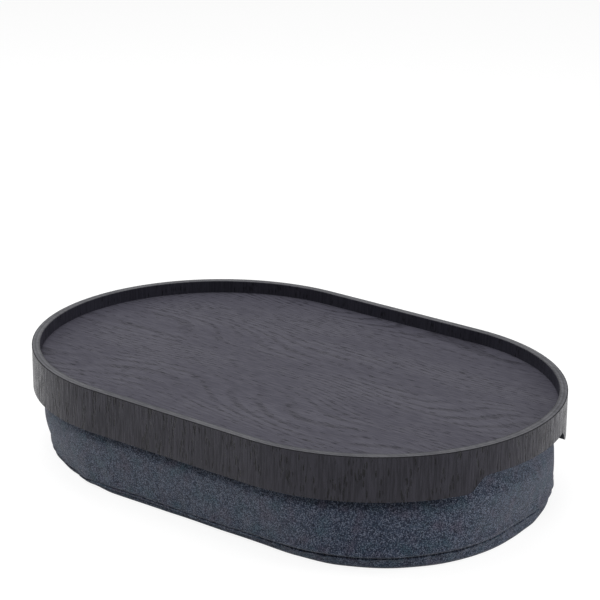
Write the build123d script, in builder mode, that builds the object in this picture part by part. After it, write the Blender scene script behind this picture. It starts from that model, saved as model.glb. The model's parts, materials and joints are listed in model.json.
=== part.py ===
import os
from math import cos, hypot, radians, sin

from build123d import *

os.makedirs("parts", exist_ok=True)

# Lap tray with cushion, in millimetres. The origin is on the ground under the middle of the tray,
# X runs along the tray and Z points up. The tray lifts off the cushion.

# Tray
tray_length = 520.0
tray_width = 344.0
rim_height = 40.0
well_depth = 11.7
rim_core_thickness = 6.3
rim_veneer = 0.6
floor_core_thickness = 3.0
floor_veneer = 0.5
groove_depth = 2.5
glue_line = 0.05
edge_ease = 0.4
overrun = 1.0

# Finger notch in the lower edge of the rim, at each end
notch_height = 14.0
notch_half_width = 66.5
notch_slope = 49.0
notch_corner_radius = 12.0

# Hook and loop strips between the tray and the cushion
strip_length = 120.0
strip_width = 25.0
strip_corner = 3.0
strip_spacing_x = 220.0
strip_spacing_y = 160.0
hook_thickness = 1.0
loop_thickness = 1.0
fastener_gap = 0.3

# Cushion: heights of its levels above the ground, how far each level stands in from the top outline
# at the ends and at the sides, and half of the straight stretch across each end
cushion_height = 87.0
cover_thickness = 1.2
side_clearance = 3.0
crown_rise = 5.0
crown_inset = 26.0
crown_rise_shares = (0.6, 0.9)
crown_inset_shares = (0.23, 0.54)
top_end_flat = 0.5
shoulder_height = 62.0
waist_height = 38.0
waist_inset_x = 2.0
waist_inset_y = 4.0
waist_end_flat = 7.5
seam_height = 12.25
seam_inset_x = 7.5
seam_inset_y = 7.0
seam_end_flat = 19.5
roll_height = 4.0
roll_inset_x = 9.5
roll_inset_y = 12.0
roll_end_flat = 17.0
base_inset_x = 13.5
base_inset_y = 18.0
base_end_flat = 14.0

# Sewing thread, lying in a groove along each seam
thread_radius = 0.4
thread_groove_radius = 0.65
thread_sink = 0.2

# Liner bag and its filling
bag_thickness = 0.6
bag_side_clearance = 3.2
bag_gap = 0.3
bag_seam_height = 45.0
filling_gap = 0.3

# Zip in the back wall of the cover
zip_height = 25.0
zip_end_margin = 12.5
zip_slot = 6.0
tape_width = 9.0
tape_thickness = 0.4
tape_margin = 7.0
tape_gap = 0.05
tooth_gap = 1.0
tooth_pitch = 2.0
tooth_width = 1.0
tooth_reach = 0.6
tooth_bar = 1.1
tooth_sink = 0.1
stop_length = 2.0
stop_margin = 1.0
slider_length = 8.0
slider_width = 6.4
slider_corner = 1.5
slider_wing = 1.0
slider_back_wing = 0.8
slider_clearance = 0.2
post_length = 2.0
post_width = 0.6
pull_length = 22.0
pull_width = 5.0
pull_thickness = 1.0
pull_corner = 1.2
pull_window_length = 2.9
pull_window_width = 2.4
pull_hole_radius = 0.9
pull_hole_margin = 2.2
pivot_rise = 0.8
bridge_width = 1.6
bridge_wall = 0.8
bridge_clearance = 0.15

# Tray places, from the cushion up
hook_underside = cushion_height + loop_thickness + fastener_gap
floor_underside = hook_underside + hook_thickness
floor_thickness = floor_core_thickness + 2 * floor_veneer
floor_surface = floor_underside + floor_thickness
rim_top = floor_surface + well_depth
rim_foot = rim_top - rim_height
rim_thickness = rim_core_thickness + 2 * rim_veneer
inner_veneer_inset = rim_thickness - rim_veneer
groove_inset = rim_thickness - groove_depth
panel_inset = groove_inset + glue_line
panel_top = floor_surface - floor_veneer

# Cushion levels, from the ground up: height, half length, half width, end flat
top_half_length = tray_length / 2 - rim_thickness - side_clearance
top_half_width = tray_width / 2 - rim_thickness - side_clearance
top_seam_height = cushion_height - crown_rise


def level(height, inset_x, inset_y, end_flat):
    return (height, top_half_length - inset_x, top_half_width - inset_y, end_flat)


base_level = level(0, base_inset_x, base_inset_y, base_end_flat)
roll_level = level(roll_height, roll_inset_x, roll_inset_y, roll_end_flat)
seam_level = level(seam_height, seam_inset_x, seam_inset_y, seam_end_flat)
waist_level = level(waist_height, waist_inset_x, waist_inset_y, waist_end_flat)
shoulder_level = level(shoulder_height, 0, 0, top_end_flat)
top_seam_level = level(top_seam_height, 0, 0, top_end_flat)
crown_levels = [
    level(
        top_seam_height + rise_share * crown_rise,
        inset_share * crown_inset,
        inset_share * crown_inset,
        top_end_flat,
    )
    for rise_share, inset_share in zip(crown_rise_shares, crown_inset_shares)
]
crown_top_level = level(cushion_height, crown_inset, crown_inset, top_end_flat)

# Half of the straight stretch along the back wall, which the zip keeps within
_, waist_half_length, waist_half_width, _ = waist_level
wall_half_straight = waist_half_length - (waist_half_width - waist_end_flat)
zip_length = 2 * (wall_half_straight - zip_end_margin)

bottom_levels = [base_level, roll_level, seam_level]
band_levels = [seam_level, waist_level, shoulder_level, top_seam_level]
top_levels = [top_seam_level, *crown_levels, crown_top_level]
all_levels = bottom_levels + band_levels[1:] + top_levels[1:]


# A level's outline, drawn in by inset, as a sketch at its own or another height
def outline(cushion_level, inset=0.0, height=None):
    own_height, half_length, half_width, end_flat = cushion_level
    place = own_height if height is None else height
    with BuildSketch(Plane.XY.offset(place)) as section:
        RectangleRounded(
            2 * (half_length - inset),
            2 * (half_width - inset),
            half_width - inset - end_flat,
        )
    return section.sketch


# The cushion's whole form, drawn in by inset and squeezed between two heights
def cushion_sections(inset, bottom, top):
    squeeze = (top - bottom) / cushion_height
    return [outline(each, inset, bottom + squeeze * each[0]) for each in all_levels]


# The closed tube that a seam's thread fills, or the groove that it lies in
def seam_tube(cushion_level, radius):
    path = outline(cushion_level, thread_sink).wire()
    with BuildSketch(Plane(origin=path @ 0, z_dir=path % 0)) as section:
        Circle(radius)
    return section.sketch, path


# A stadium-shaped outline, drawn in from the outside of the tray
def stadium(height, inset=0.0):
    with BuildSketch(Plane.XY.offset(height)) as section:
        SlotOverall(tray_length - 2 * inset, tray_width - 2 * inset)
    return section.sketch


# Outline of the finger notch, across the tray: flare, slope and inner corner, mirrored
notch_slope_run = (
    notch_height - 2 * notch_corner_radius * (1 - cos(radians(notch_slope)))
) / sin(radians(notch_slope))
notch_foot = (
    notch_half_width
    + notch_corner_radius * sin(radians(notch_slope))
    + notch_slope_run * cos(radians(notch_slope)) / 2
)
with BuildSketch(Plane.YZ) as notch:
    with BuildLine():
        Polyline(
            (0, rim_foot - overrun),
            (notch_foot, rim_foot - overrun),
            (notch_foot, rim_foot),
        )
        flare = JernArc(
            start=(notch_foot, rim_foot),
            tangent=(-1, 0),
            radius=notch_corner_radius,
            arc_size=-notch_slope,
        )
        slope = PolarLine(
            start=flare @ 1, length=notch_slope_run, direction=flare % 1
        )
        inner_corner = JernArc(
            start=slope @ 1,
            tangent=slope % 1,
            radius=notch_corner_radius,
            arc_size=notch_slope,
        )
        Line(inner_corner @ 1, (0, rim_foot + notch_height))
        mirror(about=Plane.YZ)
    make_face()
notch_reach = tray_length / 2 + overrun

# Rim of the tray: plywood band with a veneer on each side
with BuildPart() as rim_core:
    extrude(to_extrude=stadium(rim_foot, rim_veneer + glue_line), amount=rim_height)
    extrude(
        to_extrude=stadium(rim_foot, inner_veneer_inset - glue_line),
        amount=rim_height,
        mode=Mode.SUBTRACT,
    )
    extrude(
        to_extrude=stadium(floor_underside, groove_inset),
        amount=panel_top - floor_underside,
        mode=Mode.SUBTRACT,
    )
    extrude(to_extrude=notch.sketch, amount=notch_reach, both=True, mode=Mode.SUBTRACT)

with BuildPart() as rim_outer_veneer:
    extrude(to_extrude=stadium(rim_foot), amount=rim_height)
    ends = faces().sort_by(Axis.Z)
    fillet(ends[-1].edges() + ends[0].edges(), radius=edge_ease)
    extrude(to_extrude=stadium(rim_foot, rim_veneer), amount=rim_height, mode=Mode.SUBTRACT)
    extrude(to_extrude=notch.sketch, amount=notch_reach, both=True, mode=Mode.SUBTRACT)

with BuildPart() as rim_inner_veneer:
    extrude(to_extrude=stadium(panel_top, inner_veneer_inset), amount=rim_top - panel_top)
    extrude(
        to_extrude=stadium(panel_top, rim_thickness),
        amount=rim_top - panel_top,
        mode=Mode.SUBTRACT,
    )
    rim_top_face = faces().sort_by(Axis.Z)[-1]
    fillet(rim_top_face.inner_wires()[0].edges(), radius=edge_ease)

with BuildPart() as skirt_inner_veneer:
    skirt_height = floor_underside - rim_foot
    extrude(to_extrude=stadium(rim_foot, inner_veneer_inset), amount=skirt_height)
    extrude(
        to_extrude=stadium(rim_foot, rim_thickness),
        amount=skirt_height,
        mode=Mode.SUBTRACT,
    )
    extrude(to_extrude=notch.sketch, amount=notch_reach, both=True, mode=Mode.SUBTRACT)

# Floor of the tray: plywood panel and its back veneer, let into the rim's groove, and the face
# veneer laid on the panel inside the rim
with BuildPart() as floor_back_veneer:
    extrude(to_extrude=stadium(floor_underside, panel_inset), amount=floor_veneer)

with BuildPart() as floor_core:
    extrude(
        to_extrude=stadium(floor_underside + floor_veneer, panel_inset),
        amount=floor_core_thickness,
    )

with BuildPart() as floor_face_veneer:
    extrude(to_extrude=stadium(panel_top, rim_thickness + glue_line), amount=floor_veneer)

# Hook strips under the floor, and the loop strips that they grip
with BuildPart() as hook_strips:
    with BuildSketch(Plane.XY.offset(hook_underside)):
        with GridLocations(strip_spacing_x, strip_spacing_y, 2, 2):
            RectangleRounded(strip_length, strip_width, strip_corner)
    extrude(amount=hook_thickness)

with BuildPart() as loop_strips:
    with BuildSketch(Plane.XY.offset(cushion_height)):
        with GridLocations(strip_spacing_x, strip_spacing_y, 2, 2):
            RectangleRounded(strip_length, strip_width, strip_corner)
    extrude(amount=loop_thickness)

# Cushion cover: bottom panel, side band and crowned top panel
seam_groove, seam_path = seam_tube(seam_level, thread_groove_radius)
top_groove, top_path = seam_tube(top_seam_level, thread_groove_radius)

with BuildPart() as cover_bottom_panel:
    loft(sections=[outline(each) for each in bottom_levels], ruled=True)
    loft(
        sections=[
            outline(base_level, cover_thickness, cover_thickness),
            outline(roll_level, cover_thickness),
            outline(seam_level, cover_thickness),
        ],
        ruled=True,
        mode=Mode.SUBTRACT,
    )
    sweep(sections=seam_groove, path=seam_path, mode=Mode.SUBTRACT)

# The back wall's plane at the zip: X to the right as seen from behind, Y up the wall
wall_lean = (seam_inset_y - waist_inset_y) / (waist_height - seam_height)
wall_at_zip = top_half_width - seam_inset_y + wall_lean * (zip_height - seam_height)
zip_plane = Plane(
    origin=(0, wall_at_zip, zip_height), x_dir=(-1, 0, 0), z_dir=(0, 1, -wall_lean)
)
wall_depth = cover_thickness / hypot(1, wall_lean)

with BuildPart() as cover_side_band:
    loft(sections=[outline(each) for each in band_levels], ruled=True)
    loft(
        sections=[outline(each, cover_thickness) for each in band_levels],
        ruled=True,
        mode=Mode.SUBTRACT,
    )
    sweep(sections=seam_groove, path=seam_path, mode=Mode.SUBTRACT)
    sweep(sections=top_groove, path=top_path, mode=Mode.SUBTRACT)
    with BuildSketch(zip_plane):
        Rectangle(zip_length, zip_slot)
    extrude(amount=cover_thickness + overrun, both=True, mode=Mode.SUBTRACT)

with BuildPart() as cover_top_panel:
    loft(sections=[outline(each) for each in top_levels], ruled=True)
    loft(
        sections=[outline(top_seam_level, cover_thickness)]
        + [outline(each, cover_thickness, each[0] - cover_thickness) for each in top_levels[1:]],
        ruled=True,
        mode=Mode.SUBTRACT,
    )
    sweep(sections=top_groove, path=top_path, mode=Mode.SUBTRACT)

# Sewing thread of the two seams
with BuildPart() as lower_seam_thread:
    thread_section, thread_path = seam_tube(seam_level, thread_radius)
    sweep(sections=thread_section, path=thread_path)

with BuildPart() as upper_seam_thread:
    thread_section, thread_path = seam_tube(top_seam_level, thread_radius)
    sweep(sections=thread_section, path=thread_path)

# Liner bag, sewn together at mid height from an upper and a lower half, and its filling
bag_inset = cover_thickness + bag_side_clearance
bag_bottom = cover_thickness + bag_gap
bag_top = cushion_height - cover_thickness - bag_gap

with BuildPart() as inner_bag_lower:
    loft(sections=cushion_sections(bag_inset, bag_bottom, bag_top), ruled=True)
    loft(
        sections=cushion_sections(
            bag_inset + bag_thickness, bag_bottom + bag_thickness, bag_top - bag_thickness
        ),
        ruled=True,
        mode=Mode.SUBTRACT,
    )
    split(bisect_by=Plane.XY.offset(bag_seam_height), keep=Keep.BOTTOM)

with BuildPart() as inner_bag_upper:
    loft(sections=cushion_sections(bag_inset, bag_bottom, bag_top), ruled=True)
    loft(
        sections=cushion_sections(
            bag_inset + bag_thickness, bag_bottom + bag_thickness, bag_top - bag_thickness
        ),
        ruled=True,
        mode=Mode.SUBTRACT,
    )
    split(bisect_by=Plane.XY.offset(bag_seam_height), keep=Keep.TOP)

with BuildPart() as bead_filling:
    filling_wall = bag_thickness + filling_gap
    loft(
        sections=cushion_sections(
            bag_inset + filling_wall, bag_bottom + filling_wall, bag_top - filling_wall
        ),
        ruled=True,
    )

# Zip: tapes behind the wall, a row of teeth on each, stops at both ends
tape_front = wall_depth + tape_gap
tape_back = tape_front + tape_thickness
tape_centre = (tooth_gap + tape_width) / 2
tooth_height = tape_front - tooth_sink
bar_centre = tooth_gap / 2 + tooth_reach + tooth_bar / 2
tooth_centre = (tooth_gap + tooth_reach) / 2
row_length = zip_length - 2 * (stop_margin + stop_length)
tooth_count = int(row_length / tooth_pitch) - 1


# One tape, above the opening with side = 1 or below it with side = -1
def zip_tape(side):
    with BuildPart() as tape:
        with BuildSketch(zip_plane.offset(-tape_front)):
            with Locations((0, side * tape_centre)):
                Rectangle(zip_length + 2 * tape_margin, tape_width)
        extrude(amount=-tape_thickness)
    return tape


# One row of teeth, the lower row set half a pitch along from the upper one
def zip_teeth(side):
    with BuildPart() as row:
        with BuildSketch(zip_plane.offset(-tape_front)):
            with Locations((0, side * bar_centre)):
                Rectangle(row_length, tooth_bar)
            with Locations(((side - 1) * tooth_pitch / 4, side * tooth_centre)):
                with GridLocations(tooth_pitch, 0, tooth_count, 1):
                    Rectangle(tooth_width, tooth_reach)
        extrude(amount=tooth_height)
    return row


zip_upper_tape = zip_tape(1)
zip_lower_tape = zip_tape(-1)
zip_upper_teeth = zip_teeth(1)
zip_lower_teeth = zip_teeth(-1)

with BuildPart() as zip_end_stops:
    with BuildSketch(zip_plane.offset(-tape_front)):
        with GridLocations(row_length + stop_length, 0, 2, 1):
            Rectangle(stop_length, 2 * bar_centre + tooth_bar)
    extrude(amount=tooth_height)

# Slider, closed at the +X end: front wing, back wing, the post between them and the pull's bridge
slider_place = -(row_length - slider_length) / 2 + slider_clearance
zip_travel = -2 * slider_place
wing_top = slider_clearance + slider_wing
pivot_height = wing_top + pivot_rise
bridge_inside = pull_thickness / 2 + bridge_clearance
bridge_top = pivot_rise + bridge_inside + bridge_wall
pull_side_plane = Plane(
    origin=zip_plane.origin, x_dir=zip_plane.x_dir, z_dir=-zip_plane.y_dir
)

with BuildPart() as zip_slider:
    with BuildSketch(zip_plane.offset(slider_clearance)):
        with Locations((slider_place, 0)):
            RectangleRounded(slider_length, slider_width, slider_corner)
    extrude(amount=slider_wing)
    with BuildSketch(zip_plane.offset(-tape_back - slider_clearance)):
        with Locations((slider_place, 0)):
            RectangleRounded(slider_length, slider_width, slider_corner)
    extrude(amount=-slider_back_wing)
    with BuildSketch(zip_plane.offset(-tape_back - slider_clearance)):
        with Locations((slider_place, 0)):
            Rectangle(post_length, post_width)
    extrude(amount=tape_back + 2 * slider_clearance)
    with BuildSketch(pull_side_plane):
        with Locations((slider_place, wing_top)):
            Rectangle(
                2 * (bridge_inside + bridge_wall), bridge_top, align=(Align.CENTER, Align.MIN)
            )
            Rectangle(
                2 * bridge_inside,
                bridge_top - bridge_wall,
                align=(Align.CENTER, Align.MIN),
                mode=Mode.SUBTRACT,
            )
    extrude(amount=bridge_width / 2, both=True)

# Pull: its round rod lies under the bridge, and the bridge's foot stands in its window
pivot = zip_plane.from_local_coords((slider_place, 0, pivot_height))

with BuildPart() as zip_pull:
    with BuildSketch(zip_plane.offset(pivot_height - pull_thickness / 2)):
        with Locations((slider_place, 0)):
            Rectangle(pull_length, pull_width, align=(Align.MIN, Align.CENTER))
            Rectangle(
                pull_window_length,
                pull_window_width,
                align=(Align.MIN, Align.CENTER),
                mode=Mode.SUBTRACT,
            )
        fillet(vertices().sort_by(Axis.X)[-2:], radius=pull_corner)
        with Locations((slider_place + pull_length - pull_hole_margin, 0)):
            Circle(pull_hole_radius, mode=Mode.SUBTRACT)
    extrude(amount=pull_thickness)
    with BuildSketch(Plane(origin=pivot, x_dir=zip_plane.x_dir, z_dir=zip_plane.y_dir)):
        Circle(pull_thickness / 2)
    extrude(amount=pull_width / 2, both=True)

print("pull pivot", pivot, "axis", -zip_plane.y_dir, "zip travel", zip_travel)
print("rim foot", rim_foot, "floor surface", floor_surface, "rim top", rim_top)
print("notch foot half width", notch_foot, "slope run", notch_slope_run)

pieces = {
    "rim_core": rim_core,
    "rim_outer_veneer": rim_outer_veneer,
    "rim_inner_veneer": rim_inner_veneer,
    "skirt_inner_veneer": skirt_inner_veneer,
    "floor_core": floor_core,
    "floor_face_veneer": floor_face_veneer,
    "floor_back_veneer": floor_back_veneer,
    "hook_strips": hook_strips,
    "loop_strips": loop_strips,
    "cover_top_panel": cover_top_panel,
    "cover_side_band": cover_side_band,
    "cover_bottom_panel": cover_bottom_panel,
    "upper_seam_thread": upper_seam_thread,
    "lower_seam_thread": lower_seam_thread,
    "inner_bag_upper": inner_bag_upper,
    "inner_bag_lower": inner_bag_lower,
    "bead_filling": bead_filling,
    "zip_upper_tape": zip_upper_tape,
    "zip_lower_tape": zip_lower_tape,
    "zip_upper_teeth": zip_upper_teeth,
    "zip_lower_teeth": zip_lower_teeth,
    "zip_end_stops": zip_end_stops,
    "zip_slider": zip_slider,
    "zip_pull": zip_pull,
}
for name, piece in pieces.items():
    piece.part.label = name
    export_step(piece.part, f"parts/{name}.step")
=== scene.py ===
import json
import math
import bmesh
import bpy
from mathutils import Matrix, Vector, noise


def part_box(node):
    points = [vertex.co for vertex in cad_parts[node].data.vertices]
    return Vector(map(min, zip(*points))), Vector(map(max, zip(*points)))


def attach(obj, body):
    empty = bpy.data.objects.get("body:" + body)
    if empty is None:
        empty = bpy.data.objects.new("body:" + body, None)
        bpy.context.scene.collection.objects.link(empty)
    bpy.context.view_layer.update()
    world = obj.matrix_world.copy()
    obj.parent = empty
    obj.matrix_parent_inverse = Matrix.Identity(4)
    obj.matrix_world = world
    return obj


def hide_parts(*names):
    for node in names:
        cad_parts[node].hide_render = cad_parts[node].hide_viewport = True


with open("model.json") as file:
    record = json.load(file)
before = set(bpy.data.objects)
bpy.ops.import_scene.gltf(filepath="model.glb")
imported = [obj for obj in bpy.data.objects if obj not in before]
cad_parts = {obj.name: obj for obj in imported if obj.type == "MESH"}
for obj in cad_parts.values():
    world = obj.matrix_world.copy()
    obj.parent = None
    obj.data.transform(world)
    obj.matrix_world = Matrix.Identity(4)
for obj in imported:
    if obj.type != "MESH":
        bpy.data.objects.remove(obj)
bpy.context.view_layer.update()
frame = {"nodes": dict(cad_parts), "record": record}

samePoint = 1e-6  # points nearer than this are one
middleSpan = 1e-4  # a straight edge's middle lies this near to the cushion's own middle

nodes = frame["nodes"]
scene = bpy.context.scene
scene.view_settings.view_transform = "Standard"

# The photograph's camera, found by fitting the tray's outlines
cameraView = {
    "azimuth": 38.21,
    "elevation": 18.94,
    "roll": 0.35,
    "distance": 1.9576,
    "across": 0.00598,
    "above": 0.0528,
    "aim": (0, 0, 0.105),
    "lens": 130.1,
    "sensor": 36,
}


def placeCamera(view):
    turn, lift, roll = (math.radians(view[key]) for key in ("azimuth", "elevation", "roll"))
    back = Vector((math.sin(turn) * math.cos(lift), -math.cos(turn) * math.cos(lift), math.sin(lift)))
    right = Vector((math.cos(turn), math.sin(turn), 0))
    up = back.cross(right)
    place = Vector(view["aim"]) + back * view["distance"] + right * view["across"] + up * view["above"]
    rolledRight = right * math.cos(roll) + up * math.sin(roll)
    rolledUp = up * math.cos(roll) - right * math.sin(roll)
    camera = bpy.data.objects.new("camera", bpy.data.cameras.new("camera"))
    scene.collection.objects.link(camera)
    camera.data.lens = view["lens"]
    camera.data.sensor_width = view["sensor"]
    axes = Matrix((rolledRight, rolledUp, back)).transposed()
    camera.matrix_world = Matrix.Translation(place) @ axes.to_4x4()
    scene.camera = camera


placeCamera(cameraView)

# Soft studio light: an even sky, and four large lamps
skyLight = {"strength": 0.3, "shownStrength": 1.0}
lamps = {
    "lampOver": {"place": (-0.3, 0.2, 1.9), "size": 1.6, "power": 26},
    "lampLeft": {"place": (-1.7, -0.6, 0.9), "size": 1.0, "power": 13},
    "lampRight": {"place": (1.55, 1.0, 0.7), "size": 1.2, "power": 20},
    "lampFront": {"place": (0.6, -1.2, 1.6), "size": 0.7, "power": 11.5},
}
groundLook = {"size": 14.0, "colour": 0.8, "shownColour": 0.18, "shownGlow": 0.86}


# Links a node's inputs, or sets those that are given a plain value
def wire(tree, node, wires):
    for name, value in wires.items():
        if isinstance(value, bpy.types.NodeSocket):
            tree.links.new(value, node.inputs[name])
        else:
            node.inputs[name].default_value = value
    return node


def put(tree, kind, wires=None, **options):
    node = tree.nodes.new("ShaderNode" + kind)
    for name, value in options.items():
        setattr(node, name, value)
    return wire(tree, node, wires or {})


def calc(tree, operation, *values):
    return put(tree, "Math", dict(enumerate(values)), operation=operation).outputs[0]


def times(tree, first, second):
    return calc(tree, "MULTIPLY", first, second)


def vectorMath(tree, operation, first, second):
    return put(tree, "VectorMath", {0: first, 1: second}, operation=operation).outputs[0]


def axisOf(tree, vector, axis):
    return put(tree, "SeparateXYZ", {0: vector}).outputs[axis]


def noiseAt(tree, place, scale=1.0, detail=1.0, rough=0.5):
    wires = {"Vector": place, "Scale": scale, "Detail": detail, "Roughness": rough}
    return put(tree, "TexNoise", wires).outputs


def bumpOf(tree, height, distance, strength=1.0):
    return put(tree, "Bump", {"Height": height, "Distance": distance, "Strength": strength}).outputs[0]


def mixValue(tree, factor, first, second):
    return put(tree, "Mix", {0: factor, 2: first, 3: second}, data_type="FLOAT").outputs[0]


def mixColour(tree, factor, first, second):
    return put(tree, "Mix", {0: factor, 6: first, 7: second}, data_type="RGBA").outputs[2]


def remap(tree, value, low, high, toLow=0.0, toHigh=1.0):
    wires = {"Value": value, "From Min": low, "From Max": high, "To Min": toLow, "To Max": toHigh}
    return put(tree, "MapRange", wires, interpolation_type="SMOOTHSTEP").outputs[0]


# The rays that see the plain white sky and ground: the camera's own, mirrored and transmitted ones
def shownRays(tree):
    path = put(tree, "LightPath").outputs
    seen = calc(tree, "MAXIMUM", path["Is Camera Ray"], path["Is Glossy Ray"])
    return calc(tree, "MAXIMUM", seen, path["Is Transmission Ray"])


def buildStudio():
    world = scene.world or bpy.data.worlds.new("sky")
    scene.world = world
    world.use_nodes = True
    tree = world.node_tree
    tree.nodes.clear()
    light, shown = (put(tree, "Background", {"Color": (1, 1, 1, 1), "Strength": skyLight[key]}).outputs[0]
                    for key in ("strength", "shownStrength"))
    both = put(tree, "MixShader", {0: shownRays(tree), 1: light, 2: shown})
    put(tree, "OutputWorld", {"Surface": both.outputs[0]})

    for name, lamp in lamps.items():
        data = bpy.data.lights.new(name, "AREA")
        data.shape = "DISK"
        data.size = lamp["size"]
        data.energy = lamp["power"]
        holder = bpy.data.objects.new(name, data)
        scene.collection.objects.link(holder)
        holder.location = lamp["place"]
        holder.rotation_euler = Vector(lamp["place"]).to_track_quat("Z", "Y").to_euler()
        holder.visible_glossy = False

    bm = bmesh.new()
    bmesh.ops.create_grid(bm, x_segments=4, y_segments=4, size=groundLook["size"] / 2)
    ground = makeObject("ground", bm)
    material = bpy.data.materials.new("groundPaper")
    material.use_nodes = True
    tree = material.node_tree
    tree.nodes.clear()
    seen = shownRays(tree)
    paper = remap(tree, seen, 0.0, 1.0, groundLook["colour"], groundLook["shownColour"])
    diffuse = put(tree, "BsdfDiffuse", {"Color": paper})
    glow = put(tree, "Emission", {"Strength": times(tree, seen, groundLook["shownGlow"])})
    total = put(tree, "AddShader", {0: diffuse.outputs[0], 1: glow.outputs[0]})
    put(tree, "OutputMaterial", {"Surface": total.outputs[0]})
    ground.data.materials.append(material)


def makeObject(name, bm, smooth=False):
    mesh = bpy.data.meshes.new(name)
    bm.to_mesh(mesh)
    bm.free()
    if smooth:
        mesh.shade_smooth()
    made = bpy.data.objects.new(name, mesh)
    scene.collection.objects.link(made)
    return made


buildStudio()
print("studio and camera are placed")


# A group node tree that reads a vector and named values, and puts out named values
def newGroup(name, inputs, outputs):
    tree = bpy.data.node_groups.new(name, "ShaderNodeTree")
    tree.interface.new_socket("Vector", in_out="INPUT", socket_type="NodeSocketVector")
    for label, value in inputs.items():
        socket = tree.interface.new_socket(label, in_out="INPUT", socket_type="NodeSocketFloat")
        socket.default_value = value
    for label in outputs:
        tree.interface.new_socket(label, in_out="OUTPUT", socket_type="NodeSocketFloat")
    return tree, tree.nodes.new("NodeGroupInput"), tree.nodes.new("NodeGroupOutput")


def stretched(tree, vector, along, across):
    along, across = calc(tree, "DIVIDE", 1.0, along), calc(tree, "DIVIDE", 1.0, across)
    scale = put(tree, "CombineXYZ", {0: along, 1: across, 2: across}).outputs[0]
    return vectorMath(tree, "MULTIPLY", vector, scale)


# Oak veneer: its grain runs along the vector's X, and widths and lengths are in metres. Here bow and
# drift are the length and width of their patches, and the other brackets are the ends of a remap
grainForm = {
    "wander": 14.0, "middle": (0.5, 0.5, 0.5), "streakDetail": 3.0, "streakRough": 0.6,
    "poreEdge": (0.16, 0.5), "bow": (0.22, 0.09), "drift": (0.09, 0.035), "driftDetail": 2.0,
    "patch": (0.38, 0.6),
    "ringPores": (-0.1, 0.8, 0.2, 1.6), "patchPores": (0.0, 1.0, 0.3, 1.1),
    "ringLine": (0.1, 0.95), "patchLine": (0.0, 1.0, 0.35, 1.0), "streakHeight": 0.4,
}


def buildOakGrain(form):
    tree, given, made = newGroup("oakGrain", {
        "Streak Width": 0.0012, "Streak Length": 0.03, "Pore Width": 0.0009, "Pore Length": 0.006,
        "Pore Share": 0.5, "Waviness": 0.002, "Ring Width": 0.011, "Ring Bow": 0.12,
    }, ["Streaks", "Pores", "Rings", "Drift", "Height"])
    sockets = given.outputs
    wander = noiseAt(tree, sockets["Vector"], form["wander"])["Color"]
    offset = vectorMath(tree, "SUBTRACT", wander, form["middle"])
    waviness = put(tree, "CombineXYZ", {1: sockets["Waviness"], 2: sockets["Waviness"]}).outputs[0]
    bent = vectorMath(tree, "ADD", sockets["Vector"], vectorMath(tree, "MULTIPLY", offset, waviness))
    streakPlace = stretched(tree, bent, sockets["Streak Length"], sockets["Streak Width"])
    streaks = noiseAt(tree, streakPlace, detail=form["streakDetail"], rough=form["streakRough"])[0]
    porePlace = stretched(tree, bent, sockets["Pore Length"], sockets["Pore Width"])
    pores = put(tree, "TexVoronoi", {"Vector": porePlace, "Scale": 1.0, "Randomness": 1.0}).outputs
    dash = remap(tree, pores["Distance"], *form["poreEdge"], 1.0, 0.0)
    pick = put(tree, "SeparateColor", {0: pores["Color"]}).outputs[0]
    # Growth rings cut at a flat angle: bands that bow across the veneer, and patches where they show
    bow = noiseAt(tree, stretched(tree, sockets["Vector"], *form["bow"]), detail=0.0)[0]
    bowed = calc(tree, "ADD", axisOf(tree, bent, 1), times(tree, bow, sockets["Ring Bow"]))
    wave = calc(tree, "SINE", calc(tree, "DIVIDE", times(tree, bowed, 2 * math.pi), sockets["Ring Width"]))
    drift = noiseAt(tree, stretched(tree, bent, *form["drift"]), detail=form["driftDetail"])[0]
    patch = remap(tree, drift, *form["patch"])
    ringShare = times(tree, remap(tree, wave, *form["ringPores"]), remap(tree, patch, *form["patchPores"]))
    kept = calc(tree, "LESS_THAN", pick, times(tree, sockets["Pore Share"], ringShare))
    poreMask = times(tree, dash, kept)
    ringLine = times(tree, remap(tree, wave, *form["ringLine"]), remap(tree, patch, *form["patchLine"]))
    height = calc(tree, "SUBTRACT", times(tree, streaks, form["streakHeight"]), poreMask)
    wire(tree, made, {"Streaks": streaks, "Pores": poreMask, "Rings": ringLine, "Drift": drift,
                      "Height": height})
    return tree


# Woven cloth: the vector is in metres on the cloth, with the weft along X and the warp along Y
weaveForm = {"yarnHeight": 0.4, "fleckHeight": 0.6}


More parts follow.
